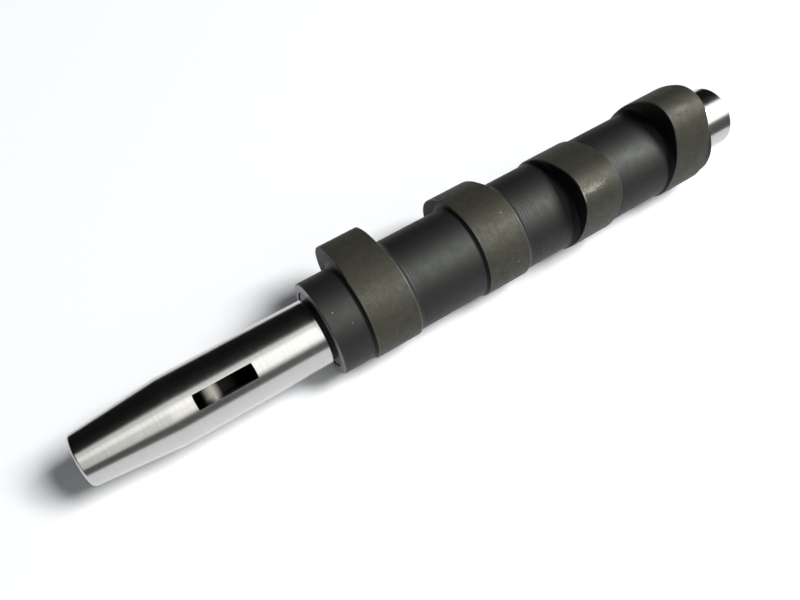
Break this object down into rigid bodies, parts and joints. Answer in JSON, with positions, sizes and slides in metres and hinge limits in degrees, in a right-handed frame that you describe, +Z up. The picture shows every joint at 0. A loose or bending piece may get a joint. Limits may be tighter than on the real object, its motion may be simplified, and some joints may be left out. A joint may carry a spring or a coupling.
{
  "type": "camshaft",
  "caption": "One-piece engine camshaft: tapered nose, keyed gear seat, thrust shoulder, cam lobes on a dark body and a ground rear journal.",
  "frame": {"origin": "on the shaft's axis at the inner end of the gear seat, beside the thrust shoulder", "axes": "+X along the axis from the tapered nose to the rear journal, +Z up with the shaft lying on the base circles of its lobes"},
  "size_m": [0.2432, 0.0435, 0.0402],
  "materials": {
    "steel": "dark phosphated body and cams, bright ground nose and rear journal"
  },
  "bodies": {
    "root": {"camshaft": "steel"}
  },
  "joints": []
}
